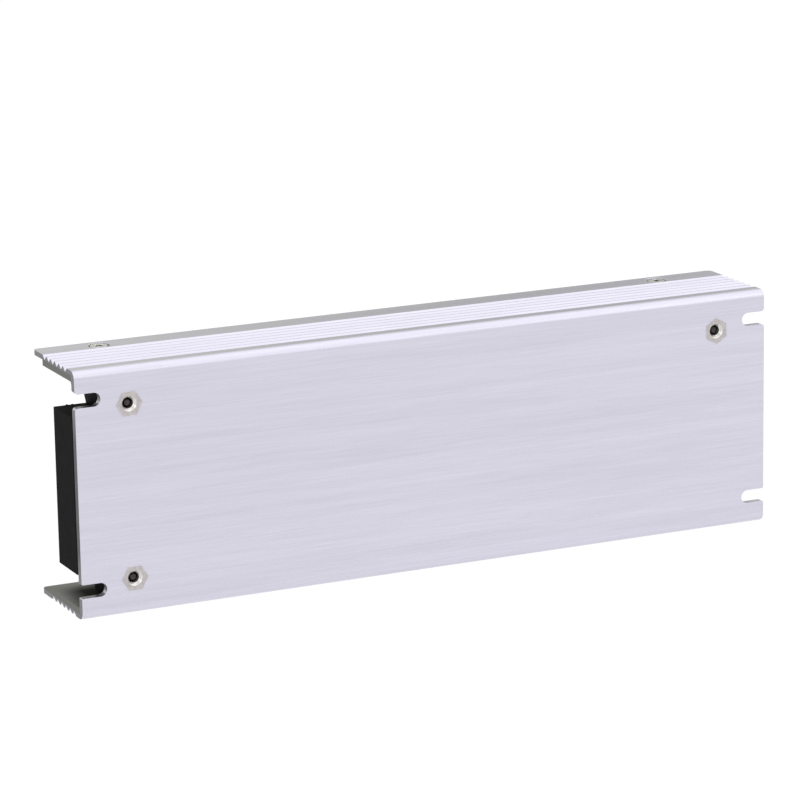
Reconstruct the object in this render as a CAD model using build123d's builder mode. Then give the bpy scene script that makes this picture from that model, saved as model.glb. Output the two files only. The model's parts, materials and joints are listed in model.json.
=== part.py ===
from build123d import *
import os

# Slim switching power supply: an extruded channel lies on one long flange, its flat plate facing -Y.
# X runs along the channel, Y from the plate towards the perforated cover, Z up across the flanges.
# The origin is the middle of the bottom. Sizes are in millimetres.
# Places along X are given from the left end, depths from the plate's outer face.

# Channel
length = 193.0
width = 63.0
depth = 29.0
plate_wall = 2.0
flange_wall = 2.8
lip_wall = 1.3
lip_reach = 6.8
corner_radius = 2.2
inner_radius = 0.8
flange_end_radius = 1.3

# V grooves along the outside of both flanges
groove_count = 6
groove_land = 0.3
groove_depth = 1.05
groove_first = 6.1
groove_margin = 0.3

# Open-ended mounting slots in the plate
slot_width = 3.5
slot_reach = 6.65
slot_edge = 7.4
high_mouth_radius = 0.9
low_mouth_radius = 0.4

# Clinch standoffs
standoff_left = 14.1
standoff_right = 14.4
standoff_low = 9.1
standoff_high = 9.5
hex_across = 6.35
hex_gap = 0.04
barrel_diameter = 5.0
barrel_gap = 0.3
face_hole_diameter = 3.9

# Screws that hold the board, the clamp bars and the cover
thread_diameter = 3.0
thread_gap = 0.05
pan_head_diameter = 5.6
pan_head_height = 2.2
case_chamfer = 0.5
cross_width = 0.8
cross_reach = 2.8
cross_deep = 1.0
board_screw_length = 8.0
clamp_screw_length = 8.0
cover_screw_length = 5.0
cover_screw_edge = 4.0
cover_screw_left = 16.0
cover_screw_right = 18.6

# Insulating tray
tray_wall = 1.0
tray_floor = 0.8
tray_top = 16.0
tray_gap = 0.3
tray_end_gap = 0.2
fold_radius = 1.5
shoulder = 9.3
neck_width = 40.0
neck_from_bottom = 31.0

# Circuit board
board_bottom = 7.0
board_thick = 1.6
board_gap = 0.4
board_screw_gap = 0.2
lead_tail = 1.5
lead_gap = 0.1
lead_width = 0.6

# Perforated cover
cover_wall = 1.0
cover_gap = 0.1
cover_side_gap = 0.6
cover_bend = 1.3
ear_reach = 5.5
panel_setback = 4.5
vent_across = 5.4
vent_pitch = 7.2
vent_rows = 6
vent_columns = 4
vent_fields = 3
vent_field_share = 0.303

# Barrier terminal blocks
pole_pitch = 8.25
input_poles = 3
output_poles = 4
barrier_wall = 1.5
barrier_chamfer = 1.8
block_inset = 4.6
block_deep = 13.5
block_height = 16.0
block_rear_wall = 1.8
seat_height = 8.6
contact_thick = 1.0
contact_gap = 0.25
contact_lip = 3.0
pin_width = 1.2
terminal_thread = 3.5
terminal_gap = 0.3
terminal_screw_length = 8.0
terminal_head_diameter = 6.0
terminal_head_height = 2.2
terminal_screw_inset = 5.8
well_diameter = 4.8
well_spare = 0.6
washer_side = 6.0
washer_thick = 0.9
driver_width = 0.9

# Power devices clamped to the lower flange in pairs, in line with the bulk capacitors and the inductor
device_spread = 16.0
device_width = 10.2
device_height = 15.8
device_thick = 4.6
device_waist = 9.0
device_tab = 2.9
device_lift_share = 0.555
device_lead_pitch = 2.54
device_lead_offset = 2.8
pad_thick = 0.3
pad_margin = 1.2
pad_edge_gap = 0.4
clamp_thick = 1.5
clamp_height = 7.0
clamp_margin = 2.0
clamp_depth = 16.25
clamp_hole_floor = 0.1

# Wound parts
choke_below_middle = 5.0
choke_long = 22.0
choke_width = 18.0
choke_leg = 5.0
choke_height = 6.0
choke_wrap = 1.8
choke_end_gap = 0.4
inductor_above_middle = 1.5
ring_outer = 19.0
ring_bore = 9.0
ring_height = 10.0
coil_wrap = 1.2
coil_gap = 0.05
coil_break = 6.0
transformer_above_middle = 2.5
core_long = 33.0
core_broad = 14.0
core_top_gap = 1.9
core_yoke = 4.0
core_leg = 9.0
core_lift = 1.0
bobbin_wall = 0.8
bobbin_gap = 0.15
coil_build = 5.6
rail_broad = 4.0
rail_inset = 2.0

# Other parts on the board
fuse_from_bottom = 9.0
fuse_end_gap = 0.9
fuse_diameter = 5.2
fuse_body = 18.0
fuse_lead_reach = 3.0
disc_lift = 1.5
disc_lead_spread = 5.0
varistor_below_middle = 13.0
varistor_diameter = 10.0
varistor_thick = 4.0
thermistor_below_middle = 2.5
thermistor_diameter = 11.0
thermistor_thick = 5.0
y_capacitors_from_top = (21.0, 11.0)
y_capacitor_diameter = 8.0
y_capacitor_thick = 4.2
x_capacitor_from_top = 12.5
x_capacitor_end_gap = 1.2
x_capacitor_size = (17.5, 8.5, 15.0)
bridge_from_top = 14.5
bridge_size = (3.6, 14.5, 11.0)
bridge_lift = 2.5
bridge_lead_pitch = 3.8
bulk_from_top = 13.5
bulk_gap = 1.5
bulk_diameter = 16.0
bulk_long = 31.5
filter_count = 3
filter_pitch = 13.0
filter_below_middle = 0.5
filter_diameter = 10.0
filter_height = 16.0
optocoupler_from_top = 12.0
optocoupler_size = (4.6, 6.4, 3.5)
optocoupler_leg_reach = 0.9
controller_share = 0.27
controller_size = (5.0, 4.0, 1.5)
lamp_from_right = 21.0
lamp_from_bottom = 8.5
lamp_diameter = 3.0
lamp_height = 4.5
lamp_bevel = 0.5
trimmer_from_right = 14.0
trimmer_from_bottom = 8.6
trimmer_side = 6.4
trimmer_height = 5.0
rotor_diameter = 3.6
rotor_gap = 0.3
rotor_seat = 2.5
rotor_stand = 0.8

# Flat sides of hidden holes, of shanks, and of small rounds
hole_sides = 8
shank_sides = 12
round_sides = 24

# Depth by which a pick reaches past an edge
pick_margin = 0.01

half_length = length / 2
half_depth = depth / 2
board_top = board_bottom + board_thick
cover_under = depth - cover_wall
seat_depth = board_top + seat_height
contact_top = seat_depth + contact_thick
washer_top = contact_top + washer_thick
tail_depth = board_bottom - lead_tail
pad_face = flange_wall + pad_thick
device_face = pad_face + device_thick
groove_span = depth - lip_reach - groove_margin + groove_land / 2 - groove_first
groove_pitch = groove_span / (groove_count - 0.5)
groove_width = groove_pitch - groove_land
groove_middle = groove_first + groove_pitch * (groove_count - 1) / 2
cover_screw_depth = depth - cover_screw_edge
cover_side = lip_reach - cover_side_gap
core_height = cover_under - board_top - core_lift - core_top_gap
device_lift = device_lift_share * (cover_under - board_top - device_height)

# Row of tall parts on the board: equal gaps between the two terminal blocks
block_rear = block_inset + block_deep
ring_across = ring_outer + 2 * coil_wrap
row_sizes = (thermistor_diameter, choke_long, bulk_long, core_long, ring_across, filter_diameter)
row_gap = (length - 2 * block_rear - sum(row_sizes)) / (len(row_sizes) + 1)
row_places = []
row_reach = block_rear
for size in row_sizes:
    row_places.append(row_reach + row_gap + size / 2)
    row_reach += row_gap + size
front_row, choke_row, bulk_row, core_row, ring_row, filter_row = row_places

# Place of each part from the left end and from the bottom
middle = width / 2
choke_place = (choke_row, middle - choke_below_middle)
transformer_place = (core_row, middle + transformer_above_middle)
inductor_place = (ring_row, middle + inductor_above_middle)
bulk_places = [(bulk_row, width - bulk_from_top - n * (bulk_diameter + bulk_gap)) for n in (0, 1)]
filter_first = middle - filter_below_middle - filter_pitch * (filter_count - 1) / 2
filter_places = [(filter_row, filter_first + n * filter_pitch) for n in range(filter_count)]
varistor_place = (front_row, middle - varistor_below_middle)
thermistor_place = (front_row, middle - thermistor_below_middle)
y_capacitor_places = [(front_row, width - from_top) for from_top in y_capacitors_from_top]
x_capacitor_start = front_row + y_capacitor_diameter / 2 + x_capacitor_end_gap
x_capacitor_place = (x_capacitor_start + x_capacitor_size[0] / 2, width - x_capacitor_from_top)
bridge_left = x_capacitor_start + x_capacitor_size[0]
bridge_place = ((bridge_left + bulk_row - bulk_long / 2) / 2, width - bridge_from_top)
fuse_place = (block_rear + fuse_end_gap + fuse_lead_reach + fuse_body / 2, fuse_from_bottom)
optocoupler_row = (core_row + core_long / 2 + ring_row - ring_across / 2) / 2
optocoupler_place = (optocoupler_row, width - optocoupler_from_top)
controller_place = (bulk_row, controller_share * width)
lamp_place = (length - lamp_from_right, lamp_from_bottom)
trimmer_place = (length - trimmer_from_right, trimmer_from_bottom)

os.makedirs("parts", exist_ok=True)


def level(from_plate):
    """Plane parallel to the plate at a depth; its x runs along Z and its y along X."""
    return Plane.ZX.offset(from_plate - half_depth)


def along(from_left):
    """X of a place given from the left end."""
    return from_left - half_length


def spot(place):
    """A board place in the axes of level()."""
    return (place[1], along(place[0]))


def clearance_hole(diameter, mode=Mode.SUBTRACT):
    """Hidden hole with few sides that stays clear of a round of this diameter."""
    RegularPolygon(diameter / 2, hole_sides, major_radius=False, rotation=180 / hole_sides, mode=mode)


def faceted(diameter, mode=Mode.ADD):
    """Small round drawn with flat sides inside its circle."""
    RegularPolygon(diameter / 2, round_sides, mode=mode)


def save(builder, name):
    builder.part.label = name
    export_step(builder.part, f"parts/{name}.step")


# Places of the standoffs, each with the turn of its hexagon in degrees
standoff_seats = (
    (along(standoff_left), width - standoff_high, 90),
    (along(standoff_left), standoff_low, 90),
    (along(length - standoff_right), width - standoff_high, 3),
)
standoff_spots = [(z, x) for x, z, turn in standoff_seats]
cover_screw_spots = [
    (along(cover_screw_left), cover_screw_depth - half_depth),
    (along(length - cover_screw_right), cover_screw_depth - half_depth),
]
cover_screw_faces = [Plane((x, y, width)) for x, y in cover_screw_spots]
cover_screw_faces += [Plane((x, y, 0), z_dir=(0, 0, -1)) for x, y in cover_screw_spots]
device_pairs = (along(bulk_row), along(ring_row))
clamp_spots = [(x, clamp_depth - half_depth) for x in device_pairs]

# Each entry holds the places and the two sides of some leads that pass through the board
drilled = []


def leads(places, wide, thick, start):
    """Rectangular leads from a depth down through the board, whose holes follow them."""
    with BuildSketch(level(start)) as feet:
        with Locations(*places):
            Rectangle(wide, thick)
    extrude(feet.sketch, amount=tail_depth - start)
    drilled.append((places, wide, thick))


# Channel: one extruded section, with its slots, standoff seats and screw holes cut after
with BuildPart() as channel:
    with BuildSketch(Plane.YZ.offset(-half_length)) as section:
        with Locations((0, width / 2)):
            Rectangle(depth, width)
        fillet(section.vertices().group_by(Axis.X)[0], corner_radius)
        with Locations((plate_wall / 2, width / 2)):
            Rectangle(depth - plate_wall, width - 2 * flange_wall, mode=Mode.SUBTRACT)
        with Locations((half_depth - lip_reach / 2, width / 2)):
            Rectangle(lip_reach, width - 2 * lip_wall, mode=Mode.SUBTRACT)
        with Locations((groove_middle - half_depth, width / 2)):
            with GridLocations(groove_pitch, width, groove_count, 2):
                Polygon(
                    (-groove_width / 2, 0),
                    (0, -groove_depth),
                    (groove_width / 2, 0),
                    (0, groove_depth),
                    align=None,
                    mode=Mode.SUBTRACT,
                )
    extrude(amount=length)
    inner_face = plate_wall - half_depth
    roots = channel.edges().filter_by(Axis.X).filter_by_position(Axis.Y, inner_face, inner_face)
    fillet(roots, inner_radius)
    fillet(channel.edges().filter_by(Axis.Z).group_by(Axis.Y)[-1], flange_end_radius)
    with BuildSketch(level(0)):
        with Locations((width / 2, 0)):
            with GridLocations(width - 2 * slot_edge, length, 2, 2):
                SlotOverall(2 * slot_reach, slot_width, rotation=90)
    extrude(amount=plate_wall, mode=Mode.SUBTRACT)
    end_reach = half_length - pick_margin
    mouth_reach = slot_width / 2 + pick_margin
    for mouth_z, mouth_radius in ((slot_edge, low_mouth_radius), (width - slot_edge, high_mouth_radius)):
        end_edges = channel.edges().filter_by(Axis.Y).filter_by(lambda e: abs(e.center().X) > end_reach)
        plate_edges = end_edges.filter_by(lambda e: e.center().Y < inner_face)
        mouths = plate_edges.filter_by_position(Axis.Z, mouth_z - mouth_reach, mouth_z + mouth_reach)
        fillet(mouths, mouth_radius)
    for x, z, turn in standoff_seats:
        with BuildSketch(level(0)):
            with Locations((z, x)):
                RegularPolygon(hex_across / 2 + hex_gap, 6, major_radius=False, rotation=turn)
        extrude(amount=plate_wall, mode=Mode.SUBTRACT)
    with BuildSketch(Plane.XY.offset(flange_wall)):
        with Locations(*clamp_spots):
            clearance_hole(thread_diameter + 2 * thread_gap, Mode.ADD)
    extrude(amount=groove_depth + clamp_hole_floor - flange_wall, mode=Mode.SUBTRACT)
    for face in cover_screw_faces:
        with BuildSketch(face):
            faceted(thread_diameter + 2 * (thread_gap + lip_wall))
        extrude(amount=-lip_wall, taper=45, mode=Mode.SUBTRACT)
save(channel, "channel")

# Clinch standoffs, pressed flush into the plate
with BuildPart() as board_standoffs:
    for x, z, turn in standoff_seats:
        with BuildSketch(level(0)):
            with Locations((z, x)):
                RegularPolygon(hex_across / 2, 6, major_radius=False, rotation=turn)
        extrude(amount=plate_wall)
    with BuildSketch(level(plate_wall)):
        with Locations(*standoff_spots):
            faceted(barrel_diameter)
    extrude(amount=board_bottom - plate_wall)
    with Locations(*[Plane((x, -half_depth, z), z_dir=(0, -1, 0)) for x, z, turn in standoff_seats]):
        CounterSinkHole(
            thread_diameter / 2 + thread_gap,
            face_hole_diameter / 2,
            depth=board_bottom,
            counter_sink_angle=90,
        )
save(board_standoffs, "board_standoffs")


def cross_recess(face, long, short, wide):
    """Cross cut into a screw head, whose top lies on the plane."""
    with BuildSketch(face) as cross:
        Rectangle(long, wide)
        Rectangle(wide, short)
    extrude(cross.sketch, amount=-cross_deep, mode=Mode.SUBTRACT)


def pan_screw(seat, shank_length):
    """Pan head screw with the underside of its head on the plane, which looks outwards."""
    crown = seat.offset(pan_head_height)
    with BuildPart() as screw:
        with BuildSketch(seat):
            faceted(pan_head_diameter)
        extrude(amount=pan_head_height)
        with BuildSketch(seat):
            faceted(thread_diameter)
        extrude(amount=-shank_length)
        cross_recess(crown, cross_reach, cross_reach, cross_width)
    return screw.part


def sunk_screw(face, shank_length):
    """Countersunk screw with the top of its head on the plane, which looks outwards."""
    with BuildPart() as screw:
        with BuildSketch(face):
            faceted(thread_diameter + 2 * lip_wall)
        extrude(amount=-lip_wall, taper=45)
        with BuildSketch(face):
            RegularPolygon(thread_diameter / 2, shank_sides)
        extrude(amount=-shank_length)
        cross_recess(face, cross_reach, cross_reach, cross_width)
    return screw.part


with BuildPart() as board_screws:
    for x, z, turn in standoff_seats:
        add(pan_screw(Plane((x, board_top - half_depth, z), z_dir=(0, 1, 0)), board_screw_length))
save(board_screws, "board_screws")

with BuildPart() as cover_screws:
    for face in cover_screw_faces:
        add(sunk_screw(face, cover_screw_length))
save(cover_screws, "cover_screws")


def stepped_outline(inset):
    """Wide middle with a narrower neck at each end, drawn in from the tray's outside."""
    with Locations((width / 2, 0)):
        Rectangle(width - 2 * (flange_wall + tray_gap + inset), length - 2 * (shoulder + inset))
    with Locations((neck_from_bottom, 0)):
        Rectangle(neck_width - 2 * inset, length - 2 * (tray_end_gap + inset))


# Insulating tray between the plate and the board, open where the power devices reach the flange
with BuildPart() as insulating_tray:
    with BuildSketch(level(plate_wall)):
        stepped_outline(0)
    extrude(amount=tray_top - plate_wall)
    fillet(insulating_tray.edges().group_by(Axis.Y)[0], fold_radius)
    with BuildSketch(level(plate_wall + tray_floor)):
        stepped_outline(tray_wall)
    extrude(amount=tray_top, mode=Mode.SUBTRACT)
    with BuildSketch(level(plate_wall)):
        with Locations(*standoff_spots):
            clearance_hole(barrel_diameter + 2 * barrel_gap, Mode.ADD)
    extrude(amount=tray_floor, mode=Mode.SUBTRACT)
    with BuildSketch(level(board_top)):
        pair_opening = device_spread + device_width + 2 * (pad_margin + board_gap)
        with Locations(*[(flange_wall + tray_gap, x) for x in device_pairs]):
            Rectangle(2 * (tray_wall + board_gap), pair_opening)
    extrude(amount=tray_top, mode=Mode.SUBTRACT)
save(insulating_tray, "insulating_tray")


def pole_spots(side, poles, inset):
    """One spot for each pole of the block at an end, side -1 being the left."""
    first = neck_from_bottom - pole_pitch * (poles - 1) / 2
    return [(first + pole_pitch * n, side * (half_length - inset)) for n in range(poles)]


bay_deep = block_deep - block_rear_wall
screw_inset = block_inset + terminal_screw_inset
pin_inset = block_inset + bay_deep - contact_thick / 2
well_deep = terminal_screw_length - contact_thick - washer_thick + well_spare


def terminal_housing(side, poles):
    """Moulded block with a bay for each pole between tall barriers."""
    with BuildPart() as housing:
        with BuildSketch(level(board_top)):
            with Locations((neck_from_bottom, side * (half_length - block_inset - block_deep / 2))):
                Rectangle(poles * pole_pitch + barrier_wall, block_deep)
        extrude(amount=block_height)
        with BuildSketch(level(seat_depth)):
            with Locations(*pole_spots(side, poles, block_inset + bay_deep / 2)):
                Rectangle(pole_pitch - barrier_wall, bay_deep)
        extrude(amount=block_height, mode=Mode.SUBTRACT)
        crests = housing.edges().filter_by(Axis.Z).group_by(Axis.Y)[-1]
        chamfer(crests.group_by(Axis.X)[0 if side < 0 else -1], barrier_chamfer)
        with BuildSketch(level(seat_depth)):
            with Locations(*pole_spots(side, poles, screw_inset)):
                clearance_hole(well_diameter, Mode.ADD)
        extrude(amount=-well_deep, mode=Mode.SUBTRACT)
        with BuildSketch(level(seat_depth)):
            with Locations(*pole_spots(side, poles, pin_inset)):
                Rectangle(pin_width + 2 * lead_gap, contact_thick + 2 * lead_gap)
        extrude(amount=-seat_height, mode=Mode.SUBTRACT)
    return housing.part


def terminal_contacts(side, poles):
    """Plate under each clamp, with a lip over the block's front and a pin through the board."""
    contact_wide = pole_pitch - barrier_wall - 2 * contact_gap
    with BuildPart() as contacts:
        with BuildSketch(level(seat_depth)):
            with Locations(*pole_spots(side, poles, block_inset + (bay_deep - contact_thick) / 2)):
                Rectangle(contact_wide, bay_deep + contact_thick)
        extrude(amount=contact_thick)
        with BuildSketch(level(contact_top)):
            with Locations(*pole_spots(side, poles, block_inset - contact_thick / 2)):
                Rectangle(contact_wide, contact_thick)
        extrude(amount=-contact_lip - contact_thick)
        with BuildSketch(level(seat_depth)):
            with Locations(*pole_spots(side, poles, screw_inset)):
                clearance_hole(terminal_thread + 2 * terminal_gap, Mode.ADD)
        extrude(amount=contact_thick, mode=Mode.SUBTRACT)
        leads(pole_spots(side, poles, pin_inset), pin_width, contact_thick, seat_depth)
    return contacts.part


def clamp_washer(place):
    """Square clamping plate that a terminal screw carries with it."""
    with BuildPart() as washer:
        with BuildSketch(level(contact_top)):
            with Locations(place):
                Rectangle(washer_side, washer_side)
                clearance_hole(terminal_thread + 2 * terminal_gap)
        extrude(amount=washer_thick)
    return washer.part


def terminal_screw(place):
    """Terminal screw with a full driver slot and a short cross."""
    seat = Plane((place[1], washer_top - half_depth, place[0]), x_dir=(0, 0, 1), z_dir=(0, 1, 0))
    crown = seat.offset(terminal_head_height)
    with BuildPart() as screw:
        with BuildSketch(seat):
            faceted(terminal_head_diameter)
        extrude(amount=terminal_head_height)
        with BuildSketch(seat):
            RegularPolygon(terminal_thread / 2, shank_sides)
        extrude(amount=-terminal_screw_length)
        cross_recess(crown, terminal_head_diameter, cross_reach, driver_width)
    return screw.part


for name, side, poles in (("input", -1, input_poles), ("output", 1, output_poles)):
    with BuildPart() as terminal_block:
        add(terminal_housing(side, poles))
    save(terminal_block, f"{name}_terminal_block")
    with BuildPart() as contacts:
        add(terminal_contacts(side, poles))
    save(contacts, f"{name}_contacts")
    for number, place in enumerate(pole_spots(side, poles, screw_inset), start=1):
        with BuildPart() as washer:
            add(clamp_washer(place))
        save(washer, f"{name}_washer_{number}")
        with BuildPart() as screw:
            add(terminal_screw(place))
        save(screw, f"{name}_screw_{number}")


def device_pair(x):
    """Two full-pack power devices that stand with their backs to the lower flange."""
    with BuildPart() as pair:
        centres = [(pad_face + device_thick / 2, x + turn * device_spread / 2) for turn in (-1, 1)]
        with BuildSketch(level(board_top + device_lift)):
            with Locations(*centres):
                Rectangle(device_thick, device_width)
        extrude(amount=device_height)
        with BuildSketch(level(board_top + device_lift + device_waist)):
            with Locations(*[(device_face, spot_x) for z, spot_x in centres]):
                Rectangle(2 * (device_thick - device_tab), device_width)
        extrude(amount=device_height, mode=Mode.SUBTRACT)
        rows = [
            (pad_face + device_lead_offset, spot_x + device_lead_pitch * n)
            for z, spot_x in centres
            for n in (-1, 0, 1)
        ]
        leads(rows, lead_width, lead_width, board_top + device_lift)
    return pair.part


with BuildPart() as switch_transistors:
    add(device_pair(device_pairs[0]))
save(switch_transistors, "switch_transistors")

with BuildPart() as output_rectifiers:
    add(device_pair(device_pairs[1]))
save(output_rectifiers, "output_rectifiers")

# Insulating pads between the devices and the flange
pad_low = board_top + device_lift - pad_margin
pad_high = depth - lip_reach - pad_edge_gap
with BuildPart() as insulating_pads:
    with BuildSketch(Plane.XY.offset(flange_wall)):
        with Locations(*[(x, (pad_low + pad_high) / 2 - half_depth) for x in device_pairs]):
            Rectangle(device_spread + device_width + 2 * pad_margin, pad_high - pad_low)
        with Locations(*clamp_spots):
            clearance_hole(thread_diameter + 2 * terminal_gap)
    extrude(amount=pad_thick)
save(insulating_pads, "insulating_pads")

# Bars that press each pair of devices on its pad, and their screws
with BuildPart() as clamp_bars:
    with BuildSketch(Plane.XY.offset(device_face)):
        with Locations(*clamp_spots):
            Rectangle(device_spread + device_width - 2 * clamp_margin, clamp_height)
            clearance_hole(thread_diameter + 2 * thread_gap)
    extrude(amount=clamp_thick)
save(clamp_bars, "clamp_bars")

with BuildPart() as clamp_screws:
    for x, y in clamp_spots:
        add(pan_screw(Plane((x, y, device_face + clamp_thick)), clamp_screw_length))
save(clamp_screws, "clamp_screws")


# Line choke: a square core with a winding on each long leg
choke_x, choke_z = along(choke_place[0]), choke_place[1]
choke_axis = board_top + choke_wrap + choke_height / 2
with BuildPart() as line_choke_core:
    with BuildSketch(level(board_top + choke_wrap)):
        with Locations((choke_z, choke_x)):
            Rectangle(choke_width, choke_long)
            Rectangle(choke_width - 2 * choke_leg, choke_long - 2 * choke_leg, mode=Mode.SUBTRACT)
    extrude(amount=choke_height)
save(line_choke_core, "line_choke_core")

with BuildPart() as line_choke_windings:
    choke_coil = choke_long - 2 * choke_leg - 2 * choke_end_gap
    with BuildSketch(Plane.YZ.offset(choke_x - choke_coil / 2)):
        with Locations((choke_axis - half_depth, choke_z)):
            with GridLocations(1, choke_width - choke_leg, 1, 2):
                RectangleRounded(choke_height + 2 * choke_wrap, choke_leg + 2 * choke_wrap, choke_wrap)
                Rectangle(choke_height + 2 * coil_gap, choke_leg + 2 * coil_gap, mode=Mode.SUBTRACT)
    extrude(amount=choke_coil)
save(line_choke_windings, "line_choke_windings")

# Output inductor: a toroid that lies in its winding, which stays open on one side
inductor_spot = spot(inductor_place)
with BuildPart() as output_inductor_core:
    with BuildSketch(level(board_top + coil_wrap)):
        with Locations(inductor_spot):
            faceted(ring_outer)
            faceted(ring_bore, Mode.SUBTRACT)
    extrude(amount=ring_height)
save(output_inductor_core, "output_inductor_core")

with BuildPart() as output_inductor_winding:
    with BuildSketch(level(board_top)):
        with Locations(inductor_spot):
            faceted(ring_across)
            faceted(ring_bore - 2 * coil_wrap, Mode.SUBTRACT)
        with Locations((inductor_spot[0] + ring_outer / 2, inductor_spot[1])):
            Rectangle(ring_outer, coil_break, mode=Mode.SUBTRACT)
    extrude(amount=ring_height + 2 * coil_wrap)
    with BuildSketch(level(board_top + coil_wrap - coil_gap)):
        with Locations(inductor_spot):
            faceted(ring_outer + 2 * coil_gap)
            faceted(ring_bore - 2 * coil_gap, Mode.SUBTRACT)
    extrude(amount=ring_height + 2 * coil_gap, mode=Mode.SUBTRACT)
save(output_inductor_winding, "output_inductor_winding")

# Transformer: a ferrite core with two windows, a bobbin on its middle leg and the winding between its flanges
core_bottom = board_top + core_lift
window_low = core_bottom + core_yoke
window_high = core_bottom + core_height - core_yoke
window_outer = core_long - 2 * core_yoke
transformer_x = along(transformer_place[0])
transformer_z = transformer_place[1]
with BuildPart() as transformer_core:
    with BuildSketch(level(core_bottom)):
        with Locations((transformer_z, transformer_x)):
            Rectangle(core_broad, core_long)
    extrude(amount=core_height)
    with BuildSketch(level(window_low)):
        with Locations((transformer_z, transformer_x)):
            Rectangle(core_broad, window_outer)
            Rectangle(core_broad, core_leg, mode=Mode.SUBTRACT)
    extrude(amount=window_high - window_low, mode=Mode.SUBTRACT)
save(transformer_core, "transformer_core")

tube_broad = core_broad + 2 * bobbin_gap
tube_long = core_leg + 2 * bobbin_gap
flange_broad = core_broad + 2 * coil_build
flange_long = window_outer - 2 * bobbin_gap
with BuildPart() as transformer_bobbin:
    with BuildSketch(level(window_low)):
        with Locations((transformer_z, transformer_x)):
            Rectangle(flange_broad, flange_long)
    extrude(amount=window_high - window_low)
    with BuildSketch(level(window_low + bobbin_wall)):
        with Locations((transformer_z, transformer_x)):
            Rectangle(flange_broad, flange_long)
            Rectangle(tube_broad + 2 * bobbin_wall, tube_long + 2 * bobbin_wall, mode=Mode.SUBTRACT)
    extrude(amount=window_high - window_low - 2 * bobbin_wall, mode=Mode.SUBTRACT)
    with BuildSketch(level(window_low)):
        with Locations((transformer_z, transformer_x)):
            Rectangle(tube_broad, tube_long)
    extrude(amount=core_height, mode=Mode.SUBTRACT)
    with BuildSketch(level(board_top)):
        with Locations((transformer_z, transformer_x)):
            with GridLocations(flange_broad - rail_broad, 1, 2, 1):
                Rectangle(rail_broad, flange_long - rail_inset)
    extrude(amount=window_low - board_top)
save(transformer_bobbin, "transformer_bobbin")

with BuildPart() as transformer_winding:
    with BuildSketch(level(window_low + bobbin_wall)):
        with Locations((transformer_z, transformer_x)):
            Rectangle(flange_broad - bobbin_wall, flange_long - bobbin_wall)
    extrude(amount=window_high - window_low - 2 * bobbin_wall)
    fillet(transformer_winding.edges().filter_by(Axis.Y), coil_build / 2)
    with BuildSketch(level(window_low)):
        with Locations((transformer_z, transformer_x)):
            Rectangle(tube_broad + 2 * bobbin_wall, tube_long + 2 * bobbin_wall)
    extrude(amount=core_height, mode=Mode.SUBTRACT)
save(transformer_winding, "transformer_winding")

# Fuse: a ceramic body between two caps, carried by its leads
with BuildPart() as fuse:
    fuse_x, fuse_z = along(fuse_place[0]), fuse_place[1]
    fuse_axis = board_top + fuse_diameter / 2
    with BuildSketch(Plane.YZ.offset(fuse_x - fuse_body / 2)):
        with Locations((fuse_axis - half_depth, fuse_z)):
            faceted(fuse_diameter)
    extrude(amount=fuse_body)
    with BuildSketch(Plane.YZ.offset(fuse_x - fuse_body / 2 - fuse_lead_reach)):
        with Locations((fuse_axis - half_depth, fuse_z)):
            Rectangle(lead_width, lead_width)
    extrude(amount=fuse_body + 2 * fuse_lead_reach)
    lead_line = fuse_body / 2 + fuse_lead_reach - lead_width / 2
    leads([(fuse_z, fuse_x - lead_line), (fuse_z, fuse_x + lead_line)], lead_width, lead_width, fuse_axis)
save(fuse, "fuse")


def disc_part(places, diameter, thick):
    """Coated discs that stand on edge on two leads."""
    with BuildPart() as discs:
        for place in places:
            with BuildSketch(Plane.XY.offset(place[1] - thick / 2)):
                with Locations((along(place[0]), board_top + disc_lift + diameter / 2 - half_depth)):
                    faceted(diameter)
            extrude(amount=thick)
        ends = []
        for place in places:
            ends.append((place[1], along(place[0]) - disc_lead_spread / 2))
            ends.append((place[1], along(place[0]) + disc_lead_spread / 2))
        leads(ends, lead_width, lead_width, board_top + disc_lift + diameter / 2)
    return discs.part


with BuildPart() as varistor:
    add(disc_part((varistor_place,), varistor_diameter, varistor_thick))
save(varistor, "varistor")

with BuildPart() as inrush_thermistor:
    add(disc_part((thermistor_place,), thermistor_diameter, thermistor_thick))
save(inrush_thermistor, "inrush_thermistor")

with BuildPart() as y_capacitors:
    add(disc_part(y_capacitor_places, y_capacitor_diameter, y_capacitor_thick))
save(y_capacitors, "y_capacitors")

# Film capacitor in a moulded box
with BuildPart() as x_capacitor:
    with BuildSketch(level(board_top)):
        with Locations(spot(x_capacitor_place)):
            Rectangle(x_capacitor_size[1], x_capacitor_size[0])
    extrude(amount=x_capacitor_size[2])
    chamfer(x_capacitor.edges().group_by(Axis.Y)[-1], case_chamfer)
save(x_capacitor, "x_capacitor")

# Bridge rectifier on four leads
with BuildPart() as bridge_rectifier:
    bridge_z, bridge_x = spot(bridge_place)
    with BuildSketch(level(board_top + bridge_lift)):
        with Locations((bridge_z, bridge_x)):
            Rectangle(bridge_size[1], bridge_size[0])
    extrude(amount=bridge_size[2])
    chamfer(bridge_rectifier.edges().group_by(Axis.Y)[-1], case_chamfer)
    row = [(bridge_z + bridge_lead_pitch * n, bridge_x) for n in (-1.5, -0.5, 0.5, 1.5)]
    leads(row, lead_width, lead_width, board_top + bridge_lift)
save(bridge_rectifier, "bridge_rectifier")

# Bulk capacitors, lying side by side on the board
with BuildPart() as bulk_capacitors:
    for place in bulk_places:
        can_axis = (board_top + bulk_diameter / 2 - half_depth, place[1])
        with BuildSketch(Plane.YZ.offset(along(place[0]) - bulk_long / 2)):
            with Locations(can_axis):
                faceted(bulk_diameter)
        extrude(amount=bulk_long)
save(bulk_capacitors, "bulk_capacitors")

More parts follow.
